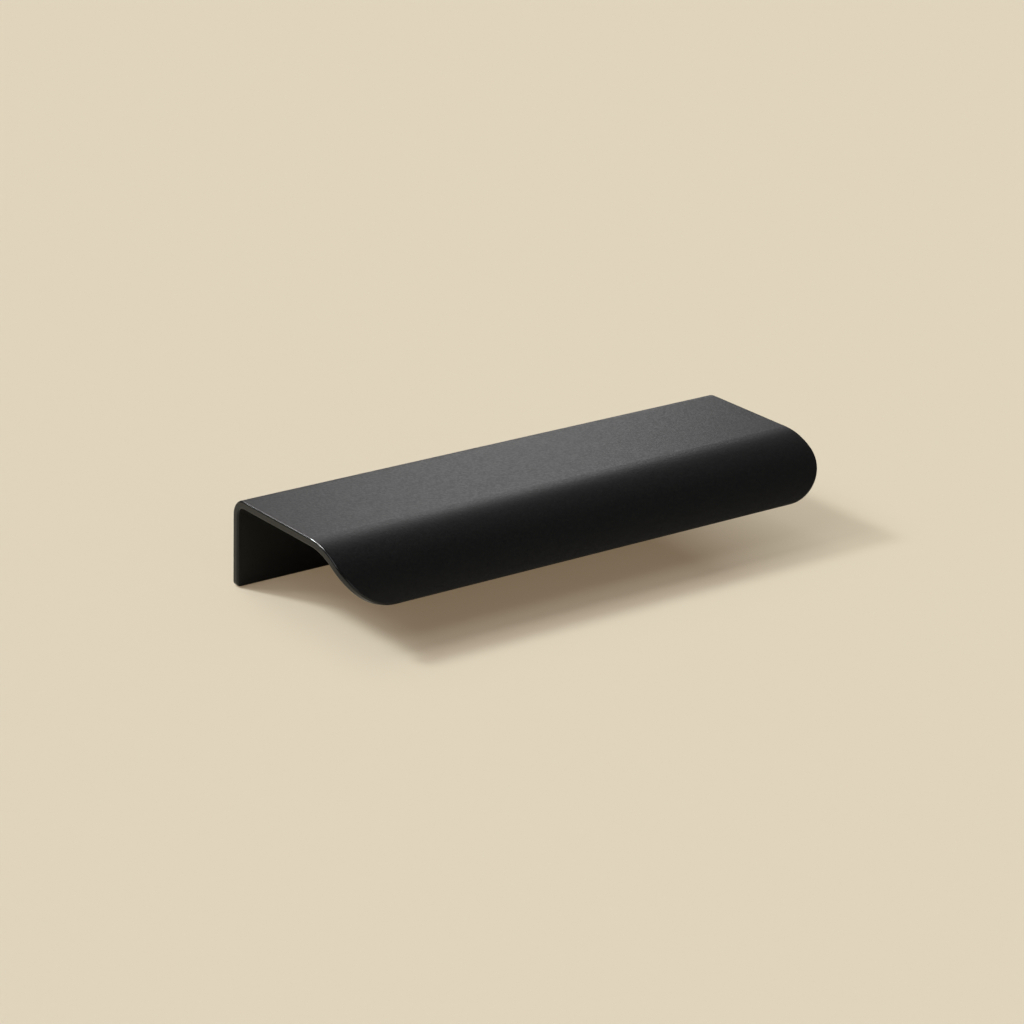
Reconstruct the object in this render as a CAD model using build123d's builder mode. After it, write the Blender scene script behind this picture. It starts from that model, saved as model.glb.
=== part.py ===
from build123d import *

import os
from math import cos, degrees, radians, sin

# A lip pull for the edge of a drawer front or a door: one strip of aluminium, folded square at the back and
# rolled down at the front. The leg goes behind the panel, the plate lies on the panel's edge, and the lip
# hangs in front for the fingers.
#
# Millimetres. X runs along the panel's edge, -Y is the front and +Z is up. The origin is midway between the
# two screw holes, on the leg's inner face, which is the face that lies against the back of the panel.

# The folded strip
length = 120.0              # along the panel's edge
depth = 41.0                # back of the leg to the front of the lip, before its edge is softened
leg_height = 18.7           # top of the plate to the leg's lower edge
thickness = 1.7             # of the strip
back_bend_inside = 2.0      # inside radius of the square fold
lip_bend_inside = 13.0      # inside radius of the rolled lip
lip_turn = 75.0             # degrees that the lip turns down from the plate

# The blank's outline, cut in the flat before the strip is folded
lip_corner = 10.3           # radius of the lip's two corners
leg_corner = 1.0            # radius of the leg's two lower corners
edge_round = 0.4            # softened edge all round the blank, on both faces

# Two holes for countersunk wood screws, driven from behind the leg
screw_spacing = 64.0
screw_height = 7.5          # above the leg's lower edge
screw_hole = 4.2            # diameter through the leg
screw_sink = 6.6            # diameter of the countersink
screw_angle = 90.0          # degrees across the countersink

# The section's lines, in Y and Z
leg_back = thickness
leg_bottom = -screw_height
plate_top = leg_bottom + leg_height
back_bend = back_bend_inside + thickness
lip_bend = lip_bend_inside + thickness
fold_centre = (leg_back - back_bend, plate_top - back_bend)
lip_centre = (leg_back - depth + lip_bend * sin(radians(lip_turn)), plate_top - lip_bend)

# The corner is laid out along the middle of the strip, which keeps its length when it is rolled
lip_middle = lip_bend - thickness / 2
corner_turn = degrees(lip_corner / lip_middle)
corner_start = lip_turn - corner_turn
corner_points = 5           # with both end directions, these hold the corner within 0.01 mm
margin = 1.0                # how far a cutter stands out of the strip


def rolled(along, turn, radius):
    """A point of the rolled lip, from its place along X, its turn from the plate and its radius."""
    angle = radians(turn)
    return Vector(along, lip_centre[0] - radius * sin(angle), lip_centre[1] + radius * cos(angle))


def corner_line(radius):
    """The lip's rounded corner at +X, wrapped round the bend at this radius."""
    points = []
    for step in range(corner_points):
        angle = radians(90.0 * step / (corner_points - 1))
        along = length / 2 - lip_corner + lip_corner * cos(angle)
        points.append(rolled(along, corner_start + corner_turn * sin(angle), radius))
    down_the_lip = (0, -cos(radians(corner_start)), -sin(radians(corner_start)))
    return Spline(*points, tangents=[down_the_lip, (-1, 0, 0)], tangent_scalars=[1, 1])


def sharp_edges(solid, least_turn=30.0):
    """The edges where two faces meet at an angle, without the lines where a bend begins or ends."""
    sharp = ShapeList()
    faces = solid.faces()
    for edge in solid.edges():
        middle = edge @ 0.5
        normals = [face.normal_at(middle) for face in faces if edge in face.edges()]
        if len(normals) == 2 and normals[0].get_angle(normals[1]) > least_turn:
            sharp.append(edge)
    return sharp


# The waste at one lip corner, with its wall square to the strip all the way round the corner
with BuildLine() as outer_line:
    corner_line(lip_bend + margin)
with BuildLine() as inner_line:
    corner_line(lip_bend_inside - margin)
corner_wall = Face.make_surface_from_curves(outer_line.edge(), inner_line.edge())
corner_waste = Solid.extrude(corner_wall, Vector(lip_corner + margin, 0, 0))

with BuildPart() as edge_pull:
    # The strip's section: its outer line, then its thickness towards the inside of both bends
    with BuildSketch(Plane.YZ):
        with BuildLine():
            Line((leg_back, leg_bottom), (leg_back, fold_centre[1]))
            CenterArc(fold_centre, back_bend, 0, 90)
            Line((fold_centre[0], plate_top), (lip_centre[0], plate_top))
            CenterArc(lip_centre, lip_bend, 90, lip_turn)
            offset(amount=thickness, side=Side.LEFT, closed=True, mode=Mode.ADD)
        make_face()
    extrude(amount=length / 2, both=True)

    # The blank's corners
    leg_corners = edge_pull.edges().filter_by(Axis.Y).group_by(Axis.Z)[0]
    fillet(leg_corners, radius=leg_corner)
    add(corner_waste, mode=Mode.SUBTRACT)
    add(corner_waste.mirror(Plane.YZ), mode=Mode.SUBTRACT)

    # The softened edge
    fillet(sharp_edges(edge_pull.part), radius=edge_round)

    # The screw holes, sunk into the leg's back
    with Locations(Plane(origin=(0, leg_back, 0), x_dir=(1, 0, 0), z_dir=(0, 1, 0))):
        with GridLocations(screw_spacing, 0, 2, 1):
            CounterSinkHole(
                radius=screw_hole / 2,
                counter_sink_radius=screw_sink / 2,
                depth=thickness + margin,
                counter_sink_angle=screw_angle,
            )

edge_pull.part.label = "edge_pull"

os.makedirs("parts", exist_ok=True)
export_step(edge_pull.part, "parts/edge_pull.step")

box = edge_pull.part.bounding_box()
print("size", [round(value, 3) for value in box.size])
print("volume", round(edge_pull.part.volume, 1), "solids", len(edge_pull.part.solids()))
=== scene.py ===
# %% [markdown]
# # A matt black pull for the edge of a drawer
#
# The object is one strip of aluminium with a black powder coat. It is folded square behind, for the
# screws, and rolled down in front, for the fingers. Its exact shape comes packed from the CAD model and
# is left as it is. This script gives it its coat, a floor to stand on, lamps and a camera.

from math import cos, pi, radians, sin

import bpy
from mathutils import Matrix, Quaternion, Vector


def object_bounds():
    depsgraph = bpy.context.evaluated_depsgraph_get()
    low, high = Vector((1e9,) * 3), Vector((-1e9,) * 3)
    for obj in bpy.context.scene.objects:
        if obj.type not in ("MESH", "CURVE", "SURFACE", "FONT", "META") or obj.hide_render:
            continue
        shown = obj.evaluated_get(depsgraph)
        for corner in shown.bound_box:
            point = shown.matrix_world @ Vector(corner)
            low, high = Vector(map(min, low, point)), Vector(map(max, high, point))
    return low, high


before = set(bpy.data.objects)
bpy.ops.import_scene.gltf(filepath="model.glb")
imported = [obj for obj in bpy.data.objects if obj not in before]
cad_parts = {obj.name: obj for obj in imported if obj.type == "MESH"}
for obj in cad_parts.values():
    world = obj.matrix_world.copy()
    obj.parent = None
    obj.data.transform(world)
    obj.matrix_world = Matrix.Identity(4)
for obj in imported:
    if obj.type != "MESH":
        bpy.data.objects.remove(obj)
cad_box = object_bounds()
scene = bpy.context.scene
print("CAD box in mm:", [tuple(round(value * 1000, 2) for value in corner) for corner in cad_box])


# %% [markdown]
# ## Tools for materials
#
# A material is a small network of nodes, and so is the light of the room. Short helpers keep the networks
# readable: one makes a node and sets its values by name, one joins two nodes, one does a step of arithmetic,
# and two mix colours or shaders. Each first names the owner of the network, a material or the world.

# %% Helpers for materials and nodes
def new_material(name):
    """A new material, and its main shader."""
    material = bpy.data.materials.new(name)
    material.use_nodes = True
    return material, material.node_tree.nodes["Principled BSDF"]


def add_node(owner, kind, **values):
    """Makes a node of this kind and sets its inputs, written with _ for a space."""
    node = owner.node_tree.nodes.new("ShaderNode" + kind)
    for name, value in values.items():
        node.inputs[name.replace("_", " ")].default_value = value
    return node


def join(owner, output, socket):
    owner.node_tree.links.new(output, socket)


def calculate(owner, operation, first, second=0.0):
    """One step of arithmetic. Each side is a number or another node's output."""
    step = add_node(owner, "Math")
    step.operation = operation
    for socket, side in zip(step.inputs, (first, second)):
        if isinstance(side, (int, float)):
            socket.default_value = side
        else:
            join(owner, side, socket)
    return step.outputs["Value"]


# %% Helpers that mix
COLOUR_FACTOR, COLOUR_A, COLOUR_B = 0, 6, 7     # among a Mix node's many sockets, those for colours
COLOUR_RESULT = 2


def mix_colours(owner, factor, first, last):
    """The first colour where the factor is 0, and the last where it is 1."""
    mix = add_node(owner, "Mix")
    mix.data_type = "RGBA"
    mix.inputs[COLOUR_A].default_value = (*first, 1.0)
    mix.inputs[COLOUR_B].default_value = (*last, 1.0)
    join(owner, factor, mix.inputs[COLOUR_FACTOR])
    return mix.outputs[COLOUR_RESULT]


def mix_shaders(owner, factor, first, last):
    """The first shader where the factor is 0, and the last where it is 1."""
    mix = add_node(owner, "MixShader")
    for output, socket in zip((factor, first, last), mix.inputs):
        join(owner, output, socket)
    return mix.outputs["Shader"]


# %% [markdown]
# ## The black coat
#
# A powder coat is a dry powder that is blown on and baked until it melts into one skin. It is nearly
# black, but it isn't smooth. It has a fine grain, which breaks up every reflection, so that the flat top
# looks dark grey and not like a mirror. Under the grain are slow waves, where the powder ran together.
# At the strip's cut ends the melt pulls thin and flows smooth, and there a lamp shows as a thin bright
# line.
#
# An image could be wrapped round the strip, but it would blur close up and its edges would have to be
# hidden. Noise on the part's own coordinates has neither fault: it is the same in every direction and as
# fine as it has to be.

# %% What the coat is like
COAT_BLACK = (0.005, 0.005, 0.005)
COAT_WORN = (0.008, 0.008, 0.008)          # on the tips of the grain
COAT_INDEX = 1.46                          # of refraction, which sets how much the coat reflects

GRAIN_SIZE = 0.0005
GRAIN_DEPTH = 0.00003
GRAIN_DETAIL = 2.0                         # finer layers in the noise
WAVE_SIZE = 0.006
WAVE_DEPTH = 0.00002
WAVE_DETAIL = 0.0

FACE_ROUGHNESS = 0.45
ROUGHNESS_CHANGE = 0.04                    # from grain to grain, up and down
EDGE_ROUGHNESS = 0.14
LEAN_FROM, LEAN_TO = 0.05, 0.25            # sideways lean where a cut edge begins, and is complete
NOISE_LOW, NOISE_HIGH = 0.35, 0.65         # a noise stays mostly between these


# %% Patterns on the part's own coordinates
def noise(material, place, size, detail):
    pattern = add_node(material, "TexNoise", Scale=1 / size, Detail=detail)
    join(material, place, pattern.inputs["Vector"])
    return pattern.outputs["Fac"]


def spread(material, value, low, high):
    """Stretches a noise so that it runs from low to high."""
    change = add_node(material, "MapRange", From_Min=NOISE_LOW, From_Max=NOISE_HIGH, To_Min=low, To_Max=high)
    join(material, value, change.inputs["Value"])
    return change.outputs["Result"]


def cut_edge(material, normal):
    """1 on the ends, round the corners and in the holes, which lean sideways, along X, and 0 elsewhere."""
    lean = add_node(material, "SeparateXYZ")
    join(material, normal, lean.inputs["Vector"])
    sideways = add_node(material, "MapRange", From_Min=LEAN_FROM, From_Max=LEAN_TO)
    join(material, calculate(material, "ABSOLUTE", lean.outputs["X"]), sideways.inputs["Value"])
    return sideways.outputs["Result"]


# %% Gloss and relief
def coat_gloss(material, grain, edge):
    faces = spread(material, grain, FACE_ROUGHNESS - ROUGHNESS_CHANGE, FACE_ROUGHNESS + ROUGHNESS_CHANGE)
    mix = add_node(material, "Mix", B=EDGE_ROUGHNESS)
    join(material, edge, mix.inputs["Factor"])
    join(material, faces, mix.inputs["A"])
    return mix.outputs["Result"]


def coat_relief(material, grain, edge, place):
    waves = add_node(material, "Bump", Distance=WAVE_DEPTH)
    join(material, noise(material, place, WAVE_SIZE, WAVE_DETAIL), waves.inputs["Height"])
    grains = add_node(material, "Bump", Distance=GRAIN_DEPTH)
    join(material, calculate(material, "SUBTRACT", 1.0, edge), grains.inputs["Strength"])
    join(material, grain, grains.inputs["Height"])
    join(material, waves.outputs["Normal"], grains.inputs["Normal"])
    return grains.outputs["Normal"]


# %% The coat on the strip
def black_coat():
    material, shader = new_material("black_coat")
    shader.inputs["IOR"].default_value = COAT_INDEX
    coordinates = add_node(material, "TexCoord")
    place, normal = coordinates.outputs["Object"], coordinates.outputs["Normal"]
    grain = noise(material, place, GRAIN_SIZE, GRAIN_DETAIL)
    edge = cut_edge(material, normal)
    colour = mix_colours(material, spread(material, grain, 0.0, 1.0), COAT_BLACK, COAT_WORN)
    join(material, colour, shader.inputs["Base Color"])
    join(material, coat_gloss(material, grain, edge), shader.inputs["Roughness"])
    join(material, coat_relief(material, grain, edge, place), shader.inputs["Normal"])
    return material


coat = black_coat()
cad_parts["edge_pull"].material_slots[0].material = coat
print("nodes in the coat:", len(coat.node_tree.nodes))


# %% [markdown]
# ## The floor
#
# The pull stands on its leg on a plain warm floor that fills the picture. Its shadow has two traits that
# lamps alone don't give. Both are made in the floor's material, and nothing else is lit by them:
#
# - It isn't deep, even under the lip. So the floor has a faint painted glow, painted light that fills
#   the shadow, which can't be darker than the glow.
# - It fades towards its right end. There the floor's own colour gives way to painted light of the tone
#   that the open floor has anyway. Where light falls nothing changes, but the painted light fills in more
#   of the shadow.
#
# Seen from below, the floor isn't there, so that the underside can be looked at.

# %% What the floor is like
FLOOR_COLOUR = (0.584, 0.545, 0.443)
# painted light that fills the whole shadow, so that it is never deep
FLOOR_PAINTED_GLOW = (0.176, 0.125, 0.075)
FLOOR_SEEN = (0.745, 0.658, 0.503)      # the painted glow and the lit colour together, where no shadow falls
NO_COLOUR = (0.0, 0.0, 0.0)
PAINTED_GLOW_IN_GLOSS = 0.15                    # how much of the painted glow the coat's gloss shows
FADE_FROM, FADE_TO = 0.025, 0.057       # along X, where painted light fills in the shadow
FADE = 0.5                              # how much of the shadow the painted light fills there
FLOOR_SIDE = 6.0


# %% The floor's material
def painted_fade(material, ray, first, last):
    """Painted light: runs along X from the first colour part of the way to the last, for the camera only."""
    place = add_node(material, "SeparateXYZ")
    join(material, add_node(material, "TexCoord").outputs["Object"], place.inputs["Vector"])
    ramp = add_node(material, "MapRange", From_Min=FADE_FROM, From_Max=FADE_TO, To_Max=FADE)
    join(material, place.outputs["X"], ramp.inputs["Value"])
    for_camera = calculate(material, "MULTIPLY", ramp.outputs["Result"], ray.outputs["Is Camera Ray"])
    return mix_colours(material, for_camera, first, last)


def floor_material():
    material, paper = new_material("floor_paper")
    paper.inputs["Roughness"].default_value = 1.0
    paper.inputs["Specular IOR Level"].default_value = 0.0
    ray = add_node(material, "LightPath")
    # painted light: towards the right end the lit colour gives way to painted glow, so the shadow there is
    # lighter
    join(material, painted_fade(material, ray, FLOOR_COLOUR, NO_COLOUR), paper.inputs["Base Color"])
    join(material, painted_fade(material, ray, FLOOR_PAINTED_GLOW, FLOOR_SEEN), paper.inputs["Emission Color"])
    in_gloss = calculate(material, "MULTIPLY", ray.outputs["Is Glossy Ray"], PAINTED_GLOW_IN_GLOSS)
    seen = calculate(material, "ADD", ray.outputs["Is Camera Ray"], in_gloss)
    join(material, seen, paper.inputs["Emission Strength"])

    behind = add_node(material, "NewGeometry").outputs["Backfacing"]
    from_below = calculate(material, "MULTIPLY", ray.outputs["Is Camera Ray"], behind)
    nothing = add_node(material, "BsdfTransparent")
    surface = mix_shaders(material, from_below, paper.outputs["BSDF"], nothing.outputs["BSDF"])
    join(material, surface, material.node_tree.nodes["Material Output"].inputs["Surface"])
    return material


# %% The floor in its place
lowest = cad_box[0]
bpy.ops.mesh.primitive_plane_add(size=FLOOR_SIDE, location=(0, 0, lowest.z))
floor = bpy.context.object
floor.name = "floor"
floor.data.materials.append(floor_material())
print("floor at", round(lowest.z * 1000, 2), "mm")


# %% [markdown]
# ## The lamps
#
# Two lamps stand behind on the left, a narrow one and a wide one, and throw the long soft shadow to the
# front. Three more wide lamps stand for the bright walls of a studio. The narrow key is a trace cool and
# the wide lamps behind are a trace warm, which tints the shadow's soft edge. On the floor their light
# adds up to about 1, so that colours are seen as they are given.
#
# Two more lamps show only in the coat's gloss and don't light the floor. The panel, low behind on the
# right, is what the flat top mirrors towards the camera. The glint makes the bright line where the near
# end turns down to the lip.

# %% Aiming a lamp or the camera
AIM = Vector((-0.00399, -0.0150, 0.0018))


def aim(data, azimuth, elevation, distance, roll=0.0):
    """Puts a lamp or the camera in this direction from the pull, facing it.

    Azimuth is in degrees from straight behind the pull: 90 is its left, and 180 its front.
    """
    turn, rise = radians(azimuth), radians(elevation)
    towards = Vector((-sin(turn) * cos(rise), cos(turn) * cos(rise), sin(rise)))
    holder = bpy.data.objects.new(data.name, data)
    holder.location = AIM + towards * distance
    holder.rotation_mode = "QUATERNION"
    holder.rotation_quaternion = towards.to_track_quat("Z", "Y") @ Quaternion((0, 0, 1), radians(roll))
    scene.collection.objects.link(holder)
    return holder


# %% Far lamps
FAR = 1.0       # a far lamp shines the same from any distance


def far_lamp(name, azimuth, elevation, brightness, width, colour=(1.0, 1.0, 1.0)):
    """A lamp of which only the direction counts. Width is how wide it looks, in degrees.

    Returns how much light it brings to the floor.
    """
    light = bpy.data.lights.new(name, "SUN")
    light.energy = brightness * pi
    light.angle = radians(width)
    light.color = colour
    aim(light, azimuth, elevation, FAR)
    return brightness * sin(radians(elevation))


on_floor = [
    far_lamp("key", azimuth=27, elevation=38.5, brightness=0.55, width=9, colour=(0.95, 1.01, 1.02)),
    far_lamp("high_key", azimuth=38, elevation=44, brightness=0.40, width=24, colour=(1.03, 0.995, 0.985)),
    far_lamp("back", azimuth=0, elevation=44, brightness=0.205, width=35, colour=(1.06, 0.98, 0.97)),
    far_lamp("left", azimuth=90, elevation=50, brightness=0.135, width=35),
    far_lamp("front", azimuth=180, elevation=25, brightness=0.05, width=35),
]


# %% Lamps that show only in the gloss
def gloss_lamp(name, side, power, azimuth, elevation, distance):
    light = bpy.data.lights.new(name, "AREA")
    light.size = side
    light.energy = power
    aim(light, azimuth, elevation, distance).visible_diffuse = False


gloss_lamp("panel", side=0.17, power=0.265, azimuth=-37, elevation=22, distance=0.6)
gloss_lamp("glint", side=0.07, power=0.9, azimuth=50, elevation=47, distance=0.6)
print("lamps:", [light.name for light in bpy.data.lights])


# %% The room's light, and what the camera sees past the floor's edge
ROOM_LIGHT = 0.09

world = bpy.data.worlds.new("room")
world.use_nodes = True
around = world.node_tree.nodes["Background"]
around.inputs["Color"].default_value = (1.0, 1.0, 1.0, 1.0)
around.inputs["Strength"].default_value = ROOM_LIGHT
seen = add_node(world, "Background", Color=(*FLOOR_SEEN, 1.0))
for_camera = add_node(world, "LightPath").outputs["Is Camera Ray"]
light = mix_shaders(world, for_camera, around.outputs["Background"], seen.outputs["Background"])
join(world, light, world.node_tree.nodes["World Output"].inputs["Surface"])
scene.world = world
print("light on the floor:", round(sum(on_floor) + ROOM_LIGHT, 3))


# %% [markdown]
# ## The camera
#
# The camera looks down on the pull from the front left through a long lens, so that its long edges stay
# almost parallel. Like the lamps it is set by its angles and its distance, which are easier to judge than
# a place in space.

# %% The camera
DISTANCE = 0.7059
AZIMUTH = 142.26
ELEVATION = 20.82
ROLL = 1.89
LENS = 123.1        # in millimetres, on Blender's own sensor width of 36

camera = aim(bpy.data.cameras.new("camera"), AZIMUTH, ELEVATION, DISTANCE, ROLL)
camera.data.lens = LENS
scene.camera = camera
scene.view_settings.view_transform = "Standard"
print("camera at", [round(value, 4) for value in camera.location])
